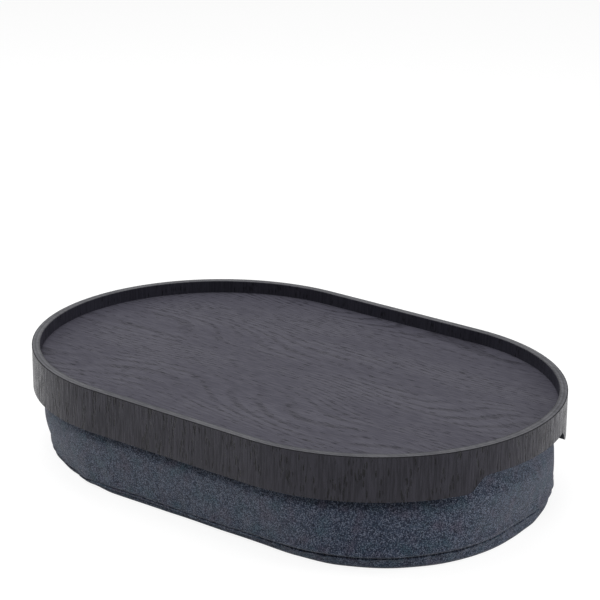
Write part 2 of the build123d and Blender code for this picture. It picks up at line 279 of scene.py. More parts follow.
def buildWeave(form):
    inputs = {"Yarn": 0.0008, "Slub Length": 0.006, "Fleck Yarns": 2.0}
    tree, given, made = newGroup("clothWeave", inputs, ["Weft", "Warp", "Over", "Fleck", "Height"])
    sockets = given.outputs
    count = calc(tree, "DIVIDE", 1.0, sockets["Yarn"])
    scaled = put(tree, "VectorMath", {0: sockets["Vector"], "Scale": count}, operation="SCALE")
    place = put(tree, "SeparateXYZ", {0: scaled.outputs[0]}).outputs
    longSlub = calc(tree, "DIVIDE", sockets["Yarn"], sockets["Slub Length"])
    slubs, flecks = {}, {}
    for label, along, across in (("Weft", 0, 1), ("Warp", 1, 0)):
        row = calc(tree, "FLOOR", place[across])
        spot = put(tree, "CombineXYZ", {0: times(tree, place[along], longSlub), 1: row}).outputs[0]
        slubs[label] = noiseAt(tree, spot)[0]
        step = calc(tree, "FLOOR", calc(tree, "DIVIDE", place[along], sockets["Fleck Yarns"]))
        cell = put(tree, "CombineXYZ", {along: step, across: row, 2: float(along)}).outputs[0]
        flecks[label] = put(tree, "TexWhiteNoise", {"Vector": cell}, noise_dimensions="3D").outputs[0]
    # A plain weave: the weft is on top where the two counts add up to an even number
    total = calc(tree, "ADD", calc(tree, "FLOOR", place[0]), calc(tree, "FLOOR", place[1]))
    over = calc(tree, "PINGPONG", total, 1.0)
    fleck = mixValue(tree, over, flecks["Weft"], flecks["Warp"])
    waves = [calc(tree, "ABSOLUTE", calc(tree, "SINE", times(tree, place[axis], math.pi))) for axis in (0, 1)]
    rise = times(tree, times(tree, *waves), form["yarnHeight"])
    height = calc(tree, "ADD", rise, times(tree, fleck, form["fleckHeight"]))
    wire(tree, made, {**slubs, "Over": over, "Fleck": fleck, "Height": height})
    return tree


oakGrain = buildOakGrain(grainForm)
clothWeave = buildWeave(weaveForm)

# What the oak shares: the painted shade that blackens the cut faces, the dark line along the outer veneer's
# top, and usual sizes
oakShared = {
    "along": "X", "streakWidth": 0.0014, "poreWidth": 0.0014, "poreShare": 0.5, "ringWidth": 0.02,
    "streak": 0.65, "sharp": 0.2, "driftSpan": (0.35, 0.65), "cutFade": 0.002,
    "cutShadowColour": (0.001, 0.001, 0.002), "edgeFade": 0.0004, "edgeColour": (0.002, 0.002, 0.004),
    "edgeRough": 0.7,
}
oakLook = {
    "rim_oak": {"colour": (0.0065, 0.006, 0.0105), "light": (0.021, 0.0197, 0.0297), "along": "Z",
                "streakLength": 0.022, "poreLength": 0.009, "poreShare": 0.6, "poreDark": 0.3, "streak": 0.8,
                "sharp": 0.12, "rough": (0.24, 0.48), "specular": 0.25, "bump": 0.0013, "edge": 0.1042},
    # The inner veneer's colour is partly the oak's own and partly painted light: it is set lighter than the
    # outer oak for the dimly lit inner walls
    "rim_inside_oak": {"colour": (0.011, 0.0107, 0.0155), "light": (0.0225, 0.022, 0.0305), "along": "Z",
                       "streakLength": 0.022, "poreLength": 0.008, "poreDark": 0.5, "streak": 0.7,
                       "sharp": 0.15, "rough": (0.4, 0.6), "specular": 0.12, "bump": 0.0003},
    "floor_oak": {"colour": (0.0415, 0.04, 0.052), "light": (0.057, 0.0552, 0.0705), "streakWidth": 0.0018,
                  "streakLength": 0.014, "poreWidth": 0.0013, "poreLength": 0.012, "poreShare": 0.7,
                  "poreDark": 0.3, "ringWidth": 0.0075, "rings": 0.3, "streak": 0.6, "sharp": 0.16,
                  "rough": (0.5, 0.65), "specular": 0.1, "bump": 0.0002},
    "plywood_edge": {"colour": (0.034, 0.0345, 0.042), "light": (0.062, 0.062, 0.073), "streakWidth": 0.0016,
                     "streakLength": 0.012, "poreWidth": 0.001, "poreLength": 0.004, "poreShare": 0.3,
                     "poreDark": 0.6, "rough": (0.35, 0.5), "specular": 0.25, "bump": 0.0001, "ply": 0.0015,
                     "plyEdge": 0.6, "plyShade": 0.55, "cutFace": 0.1, "cutShade": 0.9},
    "backing_veneer": {"colour": (0.03, 0.0293, 0.035), "light": (0.052, 0.0505, 0.06), "streakWidth": 0.0018,
                       "streakLength": 0.05, "poreLength": 0.008, "poreDark": 0.4, "ringWidth": 0.014,
                       "rough": (0.55, 0.7), "specular": 0.15, "bump": 0.00012},
}

rimHalf = [max(abs(low), abs(high)) for low, high in zip(*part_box("rim_core"))]
spineLength = rimHalf[0] - rimHalf[1]


def newMaterial(name):
    material = bpy.data.materials.new(name)
    material.use_nodes = True
    tree = material.node_tree
    shader = tree.nodes["Principled BSDF"]
    return material, tree, shader


def opaque(colour):
    return (*colour, 1.0)


# The plies of the bent band, as lines that follow it round: a shade over the distance from its middle line
def plies(tree, place, look):
    axes = put(tree, "SeparateXYZ", {0: place}).outputs
    past = calc(tree, "MAXIMUM", calc(tree, "SUBTRACT", calc(tree, "ABSOLUTE", axes[0]), spineLength), 0.0)
    squares = [calc(tree, "POWER", part, 2.0) for part in (past, axes[1])]
    away = calc(tree, "SQRT", calc(tree, "ADD", *squares))
    wave = calc(tree, "SINE", calc(tree, "DIVIDE", times(tree, away, math.pi), look["ply"]))
    return times(tree, remap(tree, wave, -look["plyEdge"], look["plyEdge"]), look["plyShade"])


def oakMaterial(name, look):
    material, tree, shader = newMaterial(name)
    place = put(tree, "TexCoord").outputs["Object"]
    if look["along"] == "Z":
        axes = put(tree, "SeparateXYZ", {0: place}).outputs
        place = put(tree, "CombineXYZ", {0: axes[2], 1: axes[0], 2: axes[1]}).outputs[0]
    grain = put(tree, "Group", {
        "Vector": place, "Streak Width": look["streakWidth"], "Streak Length": look["streakLength"],
        "Pore Width": look["poreWidth"], "Pore Length": look["poreLength"], "Pore Share": look["poreShare"],
        "Ring Width": look["ringWidth"],
    }, node_tree=oakGrain).outputs
    streak = remap(tree, grain["Streaks"], 0.5 - look["sharp"], 0.5 + look["sharp"])
    drift = remap(tree, grain["Drift"], *look["driftSpan"])
    tone = calc(tree, "ADD", times(tree, streak, look["streak"]), times(tree, drift, 1 - look["streak"]))
    dark = opaque([part * look["poreDark"] for part in look["colour"]])
    colour = mixColour(tree, tone, opaque(look["colour"]), opaque(look["light"]))
    colour = mixColour(tree, grain["Pores"], colour, dark)
    if "rings" in look:
        colour = mixColour(tree, times(tree, grain["Rings"], look["rings"]), colour, dark)
    if "ply" in look:
        colour = mixColour(tree, plies(tree, place, look), colour, opaque([0.0] * 3))
        # The cut faces of the notches and the lower edges, below the top, are blackened as painted shade
        cutTop = look["cutFace"] + look["cutFade"]
        cut = remap(tree, axisOf(tree, place, 2), look["cutFace"], cutTop, look["cutShade"], 0.0)
        colour = mixColour(tree, cut, colour, opaque(look["cutShadowColour"]))
    low, high = look["rough"]
    rough = remap(tree, tone, 0.0, 1.0, high, low)
    if "edge" in look:
        line = remap(tree, axisOf(tree, place, 0), look["edge"], look["edge"] + look["edgeFade"])
        colour = mixColour(tree, line, colour, opaque(look["edgeColour"]))
        rough = calc(tree, "MAXIMUM", rough, times(tree, line, look["edgeRough"]))
    bump = bumpOf(tree, grain["Height"], look["bump"])
    wire(tree, shader, {"Base Color": colour, "Roughness": rough, "Specular IOR Level": look["specular"],
                        "Normal": bump})
    return material


materials = {name: oakMaterial(name, {**oakShared, **look}) for name, look in oakLook.items()}

clothLook = {
    "cover_fabric": {"dark": (0.011, 0.015, 0.027), "colour": (0.04, 0.052, 0.083),
                     "light": (0.155, 0.178, 0.235), "tints": [(0.04, 0.082, 0.105), (0.082, 0.064, 0.092)],
                     "yarn": 0.0007, "slub": 0.008, "grain": 0.75, "bump": 0.0006, "sheen": 0.24},
    "loop_tape": {"dark": (0.008, 0.008, 0.009), "colour": (0.016, 0.016, 0.018),
                  "light": (0.05, 0.05, 0.055), "yarn": 0.0006, "slub": 0.002, "grain": 0.6,
                  "bump": 0.0004, "sheen": 0.3},
    "liner_fabric": {"dark": (0.45, 0.45, 0.43), "colour": (0.6, 0.6, 0.58), "light": (0.7, 0.7, 0.68),
                     "yarn": 0.0004, "slub": 0.005, "grain": 0.3, "bump": 0.0001, "sheen": 0.0},
    "zip_tape": {"dark": (0.012, 0.015, 0.022), "colour": (0.022, 0.027, 0.04), "light": (0.05, 0.06, 0.08),
                 "yarn": 0.0004, "slub": 0.002, "grain": 0.3, "bump": 0.0002, "sheen": 0.1},
}
# What all the cloths share, the brackets as the ends of a remap
clothFinish = {
    "slub": (0.3, 0.7), "lower": (0.2, 0.6), "upper": (0.58, 0.9), "patchScale": 70.0,
    "patches": ((0.5, 0.75), (0.5, 0.25)), "tintShare": 0.5, "rough": 0.92, "specular": 0.15,
    "sheenRough": 0.4, "bumpStrength": 0.8,
}


def clothMaterial(name, look, finish, onSurface):
    material, tree, shader = newMaterial(name)
    if onSurface:
        place = put(tree, "UVMap", uv_map="cloth").outputs[0]
    else:
        place = put(tree, "TexCoord").outputs["Object"]
    wires = {"Vector": place, "Yarn": look["yarn"], "Slub Length": look["slub"]}
    weave = put(tree, "Group", wires, node_tree=clothWeave).outputs
    weft, warp = (remap(tree, weave[label], *finish["slub"]) for label in ("Weft", "Warp"))
    yarn = times(tree, mixValue(tree, weave["Over"], weft, warp), 1 - look["grain"])
    tone = calc(tree, "ADD", yarn, times(tree, weave["Fleck"], look["grain"]))
    lower = remap(tree, tone, *finish["lower"])
    upper = remap(tree, tone, *finish["upper"])
    colour = mixColour(tree, lower, opaque(look["dark"]), opaque(look["colour"]))
    colour = mixColour(tree, upper, colour, opaque(look["light"]))
    patches = noiseAt(tree, place, finish["patchScale"])[0]
    for tint, span in zip(look.get("tints", [look["colour"]] * 2), finish["patches"]):
        share = times(tree, remap(tree, patches, *span), times(tree, lower, finish["tintShare"]))
        colour = mixColour(tree, share, colour, opaque(tint))
    bump = bumpOf(tree, weave["Height"], look["bump"], finish["bumpStrength"])
    wire(tree, shader, {
        "Base Color": colour, "Roughness": finish["rough"], "Specular IOR Level": finish["specular"],
        "Sheen Weight": look["sheen"], "Sheen Roughness": finish["sheenRough"], "Normal": bump,
    })
    return material


for name, look in clothLook.items():
    materials[name] = clothMaterial(name, look, clothFinish, onSurface=name == "cover_fabric")

plainLook = {
    "hook_tape": {"colour": (0.012, 0.012, 0.013), "rough": 0.6, "grit": 2200, "bump": 0.0003},
    "sewing_thread": {"colour": (0.012, 0.015, 0.024), "rough": 0.8, "grit": 3000, "bump": 0.00005},
    "bead_filling": {"colour": (0.8, 0.8, 0.78), "rough": 0.6, "grit": 260, "bump": 0.001},
    "zip_teeth": {"colour": (0.018, 0.022, 0.034), "rough": 0.35, "grit": 1500, "bump": 0.00003},
    "zip_metal": {"colour": (0.03, 0.03, 0.034), "rough": 0.3, "metal": 0.6, "grit": 900, "bump": 0.00003},
}
plainFinish = {"detail": 2.0, "grit": (0.3, 0.7), "shades": (0.7, 1.3), "roughs": (0.85, 1.15)}


def plainMaterial(name, look, finish):
    material, tree, shader = newMaterial(name)
    place = put(tree, "TexCoord").outputs["Object"]
    grit = noiseAt(tree, place, look["grit"], finish["detail"])[0]
    dark, light = (opaque([min(1.0, part * shade) for part in look["colour"]]) for shade in finish["shades"])
    wire(tree, shader, {
        "Base Color": mixColour(tree, remap(tree, grit, *finish["grit"]), dark, light),
        "Roughness": remap(tree, grit, 0.0, 1.0, *(look["rough"] * share for share in finish["roughs"])),
        "Metallic": look.get("metal", 0.0), "Normal": bumpOf(tree, grit, look["bump"]),
    })
    return material


for name, look in plainLook.items():
    materials[name] = plainMaterial(name, look, plainFinish)

for part in frame["record"]["subparts"]:
    mesh = nodes[part["node"]].data
    mesh.materials.clear()
    mesh.materials.append(materials[part["material_slot"]])
print("materials are made")

# The cushion's cover: levels from the ground up, each with its height, how far it stands in from
# the widest outline at the ends and at the sides, and half of the flat across each end
cushionShape = {
    "bottom": [(0.0, 0.0135, 0.018, 0.014), (0.0014, 0.0112, 0.0145, 0.0155),
               (0.004, 0.0093, 0.0112, 0.0172), (0.008, 0.008, 0.0084, 0.0187),
               (0.01225, 0.0075, 0.007, 0.0195)],
    "side": [(0.01225, 0.0075, 0.007, 0.0195), (0.02, 0.0052, 0.006, 0.0155),
             (0.03, 0.003, 0.0048, 0.0105), (0.04, 0.0016, 0.0035, 0.0065), (0.051, 0.0005, 0.0015, 0.0025),
             (0.062, 0.0, 0.0, 0.0005), (0.082, 0.0, 0.0, 0.0005)],
    "top": [(0.082, 0.0, 0.0, 0.0005), (0.085, 0.006, 0.006, 0.0005), (0.0865, 0.014, 0.014, 0.0005),
            (0.087, 0.026, 0.026, 0.0005)],
}
wholeShape = cushionShape["bottom"][:-1] + cushionShape["side"][:-1] + cushionShape["top"]
# How far the extra rows on each flat face stand in from its edge
flatInsets = {"bottom": (0.0015, 0.004, 0.01, 0.02), "top": (0.006, 0.014), "inner": (0.004,)}
shellColumns = {"bend": 24, "length": 24, "end": 2, "square": 0.02}
panelColumns = {"bend": 84, "length": 58, "end": 10, "square": 0.012}
bandLow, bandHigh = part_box("cover_side_band")
cushionHalfLength, cushionHalfWidth = bandHigh.x, bandHigh.y
spineHalf = cushionHalfLength - cushionHalfWidth
lowerSeam, upperSeam = bandLow.z, bandHigh.z


# The level at a height, on a smooth curve through the given levels
def levelAt(levels, height):
    last = len(levels) - 1
    index = max(i for i in range(last) if height >= levels[i][0] - samePoint)
    before, start, end, after = (Vector(levels[max(0, min(last, index + shift))]) for shift in (-1, 0, 1, 2))
    share = (height - start[0]) / (end[0] - start[0])
    leave, arrive = (end - before) / 2, (after - start) / 2
    curve = (start * (2 * share ** 3 - 3 * share ** 2 + 1) + leave * (share ** 3 - 2 * share ** 2 + share)
             + end * (3 * share ** 2 - 2 * share ** 3) + arrive * (share ** 3 - share ** 2))
    return (height, *curve[1:])


def smaller(level, inset):
    height, insetLength, insetWidth, endFlat = level
    return (height, insetLength + inset, insetWidth + inset, endFlat)


# Rows further and further in on a flat face, each a hair past the one before, to bridge the right way
def flatRows(level, insets, hair):
    rows = [smaller(level, inset) for inset in insets]
    return [(row[0] + hair * (index + 1), *row[1:]) for index, row in enumerate(rows)]


# One closed row of cloth, as a rounded rectangle
def addRow(bm, level, columns):
    height, insetLength, insetWidth, endFlat = level
    halfLength, halfWidth = cushionHalfLength - insetLength, cushionHalfWidth - insetWidth
    made = bmesh.ops.create_grid(bm, x_segments=1, y_segments=1, size=1.0)["verts"]
    bmesh.ops.scale(bm, vec=(halfLength, halfWidth, 1), verts=made)
    bmesh.ops.translate(bm, vec=(0, 0, height), verts=made)
    bevelled = bmesh.ops.bevel(bm, geom=made, offset=halfWidth - endFlat, segments=columns["bend"],
                               affect="VERTICES", profile=0.5, material=-1)
    face = [face for face in bevelled["verts"][0].link_faces if len(face.verts) > columns["bend"]][0]
    ring = list(face.edges)
    bmesh.ops.delete(bm, geom=[face], context="FACES_ONLY")
    middles = {edge: (edge.verts[0].co + edge.verts[1].co) / 2 for edge in ring}
    for axis, count in ((0, columns["length"]), (1, columns["end"])):
        straight = [edge for edge, middle in middles.items() if abs(middle[axis]) < middleSpan]
        cut = bmesh.ops.subdivide_edges(bm, edges=straight, cuts=count - 1)["geom_split"]
        ring = [edge for edge in ring if edge not in straight]
        ring += [edge for edge in cut if isinstance(edge, bmesh.types.BMEdge)] + straight
    return list(dict.fromkeys(ring))


def bisect(bm, faces, place, normal):
    geom = dict.fromkeys(item for face in faces for item in [face, *face.edges, *face.verts])
    return bmesh.ops.bisect_plane(bm, geom=list(geom), plane_co=place, plane_no=normal, dist=samePoint)


# A flat cloth face in a row, cut into squares
def fillFace(bm, ring, spacing):
    made = bmesh.ops.contextual_create(bm, geom=ring)["faces"]
    for axis, half in ((0, cushionHalfLength), (1, cushionHalfWidth)):
        count = int(half / spacing)
        for step in range(-count, count + 1):
            place, normal = Vector((0, 0, 0)), Vector((0, 0, 0))
            place[axis], normal[axis] = step * spacing, 1
            cut = bisect(bm, made, place, normal)
            made = [item for item in cut["geom"] if isinstance(item, bmesh.types.BMFace)]


# A wall of cloth through the levels, closed by a flat face where its first or last row is named
def addWall(bm, levels, columns, filled=()):
    rings = [addRow(bm, level, columns) for level in levels]
    for lower, upper in zip(rings, rings[1:]):
        bmesh.ops.bridge_loops(bm, edges=lower + upper)
    for label, ring in (("first", rings[0]), ("last", rings[-1])):
        if label in filled:
            fillFace(bm, ring, columns["square"])
    return rings


clothRun = {"voxel": 0.005, "pressure": 4.0, "frames": 20, "start": 0.0018, "cap": 0.0026, "spare": 0.015,
            "sewn": 0.003, "stiffness": 15.0, "bending": 0.6, "highest": 0.087, "foldOut": 0.6,
            "hair": 0.00002}


def applyModifiers(holder):
    shown = holder.evaluated_get(bpy.context.evaluated_depsgraph_get())
    mesh = bpy.data.meshes.new_from_object(shown)
    holder.modifiers.clear()
    holder.data = mesh


# The whole cushion as one closed skin, blown up between its two seams
def cushionShell(run):
    bm = bmesh.new()
    rings = addWall(bm, [smaller(level, run["start"]) for level in wholeShape], shellColumns)
    for ring in (rings[0], rings[-1]):
        bmesh.ops.contextual_create(bm, geom=ring)
    bmesh.ops.recalc_face_normals(bm, faces=bm.faces)
    made = makeObject("cushionShell", bm, smooth=True)
    remesh = made.modifiers.new("remesh", "REMESH")
    remesh.mode = "VOXEL"
    remesh.voxel_size = run["voxel"]
    applyModifiers(made)
    start = [vert.co.copy() for vert in made.data.vertices]
    sewn = made.vertex_groups.new(name="sewn")
    held = [index for index, place in enumerate(start)
            if min(abs(place.z - lowerSeam), abs(place.z - upperSeam)) < run["sewn"]]
    sewn.add(held, 1.0, "REPLACE")
    cloth = made.modifiers.new("cloth", "CLOTH")
    settings = cloth.settings
    settings.use_pressure = True
    settings.uniform_pressure_force = run["pressure"]
    settings.effector_weights.gravity = 0
    settings.tension_stiffness = settings.compression_stiffness = run["stiffness"]
    settings.bending_stiffness = run["bending"]
    settings.shrink_min = -run["spare"]
    settings.vertex_group_mass = "sewn"
    cloth.point_cache.frame_end = run["frames"]
    for step in range(1, run["frames"] + 1):
        scene.frame_set(step)
    applyModifiers(made)
    scene.frame_set(1)
    for vert, place in zip(made.data.vertices, start):
        shift = vert.co - place
        if shift.length > run["cap"]:
            shift *= run["cap"] / shift.length
        vert.co = place + shift
        vert.co.z = max(0.0, min(run["highest"], vert.co.z))
    return made


# The nearest point of the cushion's middle line, at the place's own height
def onSpine(place):
    return Vector((max(-spineHalf, min(spineHalf, place.x)), 0, place.z))


def outward(place):
    return (place - onSpine(place)).normalized()


# How far round the cushion's side a place is, from the middle of the back
def around(place):
    quarter = math.pi / 2 * cushionHalfWidth
    if abs(place.x) <= spineHalf:
        return -place.x if place.y > 0 else 2 * spineHalf + 2 * quarter + place.x
    turn = math.atan2(place.y, abs(place.x) - spineHalf)
    if place.x < 0:
        return spineHalf + (math.pi / 2 - turn) * cushionHalfWidth
    return 3 * spineHalf + 2 * quarter + (math.pi / 2 + turn) * cushionHalfWidth


aroundLength = 4 * spineHalf + 2 * math.pi * cushionHalfWidth

# How the cloth turns in at a seam: distance from the seam and depth
seamTuck = {
    "above": [(0.0, 0.0038), (0.00035, 0.0034), (0.0008, 0.0022), (0.0014, 0.0006), (0.0023, -0.0005),
              (0.0036, -0.0008), (0.0055, -0.0005), (0.0085, 0.0)],
    "below": [(0.0, 0.0038), (0.0003, 0.003), (0.0007, 0.0014), (0.0012, 0.0004), (0.0018, 0.0)],
}
puckers = {"spacing": 0.011, "depth": 0.00035, "reach": 0.012, "layer": 3.0}
# Pairs of heights are where an effect is full and where it ends
settled = {
    "blown": (0.01, 0.003), "innerReach": 0.07, "groundCurve": 1.6, "seamHold": 0.012, "flareTop": 0.042,
    "hangTop": 0.05, "drawn": (0.067, 0.052), "slackSize": 0.075, "slack": 0.0009, "slackTop": (0.03, 0.065),
    "slackFoot": (0.012, 0.002),
}


def tuckAt(table, distance):
    for (near, nearDepth), (far, farDepth) in zip(table, table[1:]):
        if distance <= far:
            return nearDepth + (farDepth - nearDepth) * (distance - near) / (far - near)
    return 0.0


def fade(value, full, none):
    share = max(0.0, min(1.0, (value - none) / (full - none)))
    return share * share * (3 - 2 * share)


# The form that the filling gives the cushion, at places around it in metres from the middle of the back:
# how far the ground's edge stands in from the widest outline, and how far the lower seam hangs down
groundEdge = [(0.0, 0.012), (0.3, 0.012), (0.4, 0.0135), (0.45, 0.016), (0.48, 0.02), (0.51, 0.0235),
              (0.54, 0.0235), (0.57, 0.019), (0.6, 0.0136), (0.66, 0.0146), (0.69, 0.0158), (0.72, 0.0157),
              (0.76, 0.0167), (0.81, 0.016), (0.85, 0.0122), (0.9, 0.0095), (0.94, 0.0083), (1.02, 0.0074),
              (1.05, 0.0093), (1.08, 0.0115), (1.12, 0.0124), (1.2, 0.01), (1.35, 0.012)]
seamHang = [(0.0, 0.0), (0.25, 0.0), (0.4, 0.004), (0.46, 0.0075), (0.5, 0.0085), (0.55, 0.008),
            (0.59, 0.0062), (0.64, 0.0052), (0.7, 0.005), (0.78, 0.004), (0.86, 0.0025), (0.95, 0.0015),
            (1.1, 0.001), (1.25, 0.0), (1.35, 0.0)]
seamFlare = [(0.0, 0.0), (0.33, 0.0), (0.4, -0.003), (0.45, -0.0065), (0.48, -0.0084), (0.51, -0.0103),
             (0.54, -0.0085), (0.57, -0.002), (0.6, -0.0005), (0.66, 0.0), (0.8, 0.0), (0.88, 0.0025),
             (0.96, 0.003), (1.05, 0.001), (1.12, 0.0), (1.25, 0.0), (1.35, 0.0)]
# How far the wall is drawn in under the tray's skirt
drawnIn = [(0.0, 0.008), (0.36, 0.008), (0.45, 0.004), (0.52, 0.0055), (0.6, 0.0085), (0.78, 0.009),
           (0.93, 0.0105), (0.965, 0.004), (1.13, 0.004), (1.22, 0.008), (1.35, 0.008)]


def valueAt(table, distance):
    distance %= aroundLength
    for (near, nearValue), (far, farValue) in zip(table, table[1:] + [(aroundLength, table[0][1])]):
        if distance <= far:
            return nearValue + (farValue - nearValue) * fade(distance, far, near)
    return table[0][1]


# Full at the lower seam, and nothing at the ground or at the given height above the seam
def nearLowerSeam(height, top):
    return fade(height, lowerSeam, top) if height > lowerSeam else height / lowerSeam


# A blown-up point settled on the ground, with the slack of the cloth and the pull of the seams
def settle(place, base):
    away, spot = outward(base), around(base)
    blown = fade(base.z, *settled["blown"])
    place = base.lerp(place, blown)
    out = 0.0
    if base.z < lowerSeam:
        lowest = cushionShape["bottom"][0]
        ring = lowest[1] + (lowest[2] - lowest[1]) * away.y ** 2
        inset = cushionHalfWidth - (base - onSpine(base)).length
        share = (1 - base.z / lowerSeam) ** settled["groundCurve"]
        share *= fade(max(0.0, inset - ring), 0, settled["innerReach"])
        out += (ring - valueAt(groundEdge, spot)) * share
    nearSeam = min(abs(base.z - lowerSeam), abs(base.z - upperSeam))
    out += clothRun["start"] * fade(nearSeam, 0, settled["seamHold"]) * blown
    out += valueAt(seamFlare, spot) * nearLowerSeam(base.z, settled["flareTop"])
    out -= valueAt(drawnIn, spot) * fade(base.z, *settled["drawn"])
    low = fade(base.z, *settled["slackTop"]) * fade(base.z, *settled["slackFoot"])
    out -= settled["slack"] * noise.noise(base / settled["slackSize"]) * low
    pucker = noise.noise(Vector((spot / puckers["spacing"], base.z / puckers["reach"], puckers["layer"])))
    out -= puckers["depth"] * pucker * fade(nearSeam, 0, puckers["reach"])
    place = place + away * out
    place.z -= valueAt(seamHang, spot) * nearLowerSeam(base.z, settled["hangTop"])
    return place


# The zip's place, the flat that it needs around it, and how far from it the cloth may be cut
zipPlace = {"centre": Vector((0, 0.155985, 0.025)), "lean": 0.116505, "halfLength": 0.085, "halfSlot": 0.003,
            "flatAround": 0.009, "fadeAround": 0.012, "behind": 0.02, "back": 0.14, "side": 0.1,
            "height": 0.012}
zipUp = Vector((0, zipPlace["lean"], 1)).normalized()
zipOut = Vector((0, 1, -zipPlace["lean"])).normalized()


# Around the zip the wall is as flat as the zip
def flattenAtZip(place):
    local = place - zipPlace["centre"]
    if local.dot(zipOut) < -zipPlace["behind"]:
        return place
    past = max(abs(local.x) - zipPlace["halfLength"], abs(local.dot(zipUp)) - zipPlace["halfSlot"])
    share = fade(past, zipPlace["flatAround"], zipPlace["flatAround"] + zipPlace["fadeAround"])
    return place - zipOut * local.dot(zipOut) * share


def clothPanel(name, levels, filled, mapping):
    bm = bmesh.new()
    addWall(bm, levels, panelColumns, filled)
    bmesh.ops.recalc_face_normals(bm, faces=bm.faces)
    made = makeObject(name, bm, smooth=True)
    mesh = made.data
    base = [vert.co.copy() for vert in mesh.vertices]
    uv = mesh.uv_layers.new(name="cloth").data
    for face in mesh.polygons:
        spots = [mapping(base[mesh.loops[corner].vertex_index]) for corner in face.loop_indices]
        widest = max(spot[0] for spot in spots)
        for corner, (along, up) in zip(face.loop_indices, spots):
            if widest - along > aroundLength / 2:
                along += aroundLength
            uv[corner].uv = (along, up)
    wrap = made.modifiers.new("wrap", "SHRINKWRAP")
    wrap.target = shell
    wrap.wrap_method = "NEAREST_SURFACEPOINT"
    applyModifiers(made)
    return made, base


def moveAll(made, base, tuck):
    for vert, origin in zip(made.data.vertices, base):
        place = settle(vert.co, origin) - outward(origin) * tuck(origin.z)
        place = flattenAtZip(place)
        place.z = max(0.0, place.z)
        vert.co = place
    made.data.update()


def sideMap(place):
    return around(place), place.z


# The cloth of the flat panels, with the rise of their edges folded out
def flatMap(place):
    rise = place.z if place.z < cushionTop / 2 else cushionTop - place.z
    spread = place + outward(place) * rise * clothRun["foldOut"]
    return spread.x, spread.y


# Levels at heights in millimetres above a seam or the ground
def levelsAt(key, start, heights):
    return [levelAt(cushionShape[key], start + height / mmInMetre) for height in heights]


mmInMetre = 1000
cushionTop = cushionShape["top"][-1][0]
shell = cushionShell(clothRun)
print("cushion shell has", len(shell.data.vertices), "points")

sideHeights = [0, 0.35, 0.8, 1.4, 2.3, 3.6, 5.5] + [8.5 + 3 * row for row in range(18)]
sideHeights += [62, 64.2, 66.1, 67.4, 68.3, 68.95, 69.4, 69.75]
sideBand, sideBase = clothPanel("coverSideBand", levelsAt("side", lowerSeam, sideHeights), (), sideMap)
moveAll(sideBand, sideBase, lambda height: tuckAt(seamTuck["above"], height - lowerSeam)
        + tuckAt(seamTuck["below"], upperSeam - height))

bottomHeights = [0, 0.35, 0.8, 1.4, 2.2, 3.2, 4.4, 5.8, 7.4, 9.0, 10.2, 11.05, 11.55, 11.95, 12.25]
bottomLevels = flatRows(cushionShape["bottom"][0], flatInsets["bottom"], -clothRun["hair"])[::-1]
bottomLevels += levelsAt("bottom", 0, bottomHeights)
bottomPanel, bottomBase = clothPanel("coverBottomPanel", bottomLevels, ("first",), flatMap)
moveAll(bottomPanel, bottomBase, lambda height: tuckAt(seamTuck["below"], lowerSeam - height))

topHeights = [0, 0.3, 0.7, 1.2, 1.8, 2.5, 3.2, 3.8, 4.25, 4.6, 4.85, 5.0]
topLevels = levelsAt("top", upperSeam, topHeights)
topLevels += flatRows(cushionShape["top"][-1], flatInsets["top"], clothRun["hair"])
topPanel, topBase = clothPanel("coverTopPanel", topLevels, ("last",), flatMap)
moveAll(topPanel, topBase, lambda height: tuckAt(seamTuck["below"], height - upperSeam))


# The two seams as closed runs of points, taken while the side band still has all its rows
def seamRun(height, proud):
    row = [(around(origin) % aroundLength, vert.co.copy(), outward(origin))
           for vert, origin in zip(sideBand.data.vertices, sideBase) if abs(origin.z - height) < samePoint]
    row.sort(key=lambda item: item[0])
    row.append(row[0])
    return [(place + out * proud, out) for _, place, out in row]


seamProud = 0.0009
lowerSeamRun, upperSeamRun = seamRun(lowerSeam, seamProud), seamRun(upperSeam, seamProud)


# The opening for the zip, cut in the side band along the wall's own up direction
def cutZipSlot(made, slot):
    bm = bmesh.new()
    bm.from_mesh(made.data)
    for normal, half in ((Vector((1, 0, 0)), slot["halfLength"]), (zipUp, slot["halfSlot"])):
        for sign in (-1, 1):
            near = []
            for face in bm.faces:
                middle = face.calc_center_median()
                local = middle - slot["centre"]
                if middle.y > slot["back"] and abs(local.x) < slot["side"] and abs(local.z) < slot["height"]:
                    near.append(face)
            bisect(bm, near, slot["centre"] + normal * half * sign, normal)
    inside = []
    for face in bm.faces:
        local = face.calc_center_median() - slot["centre"]
        if local.y > -slot["behind"] and abs(local.x) < slot["halfLength"] \
                and abs(local.dot(zipUp)) < slot["halfSlot"]:
            inside.append(face)
    bmesh.ops.delete(bm, geom=inside, context="FACES")
    bm.to_mesh(made.data)
    bm.free()


def thicken(made, thickness):
    solid = made.modifiers.new("thickness", "SOLIDIFY")
    solid.thickness = thickness
    solid.offset = -1


# A finished piece rides on its body, in place of its CAD nodes
def fit(made, slot, body, *replaced):
    if not made.data.materials:
        made.data.materials.append(materials[slot])
    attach(made, body)
    if replaced:
        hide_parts(*replaced)
    return made


cutZipSlot(sideBand, zipPlace)
clothThickness = 0.0012
for panel, node in ((sideBand, "cover_side_band"), (bottomPanel, "cover_bottom_panel"),
                    (topPanel, "cover_top_panel")):
    thicken(panel, clothThickness)
    fit(panel, "cover_fabric", "cushion", node)
bpy.data.objects.remove(shell)
print("cushion cover is sewn")

# Stitches along runs of points, each point with the direction that faces out of the cloth
stitchLook = {"spacing": 0.0036, "length": 0.0027, "width": 0.0007, "height": 0.0006, "sunk": 0.0001,
              "sides": 6, "rings": 4}


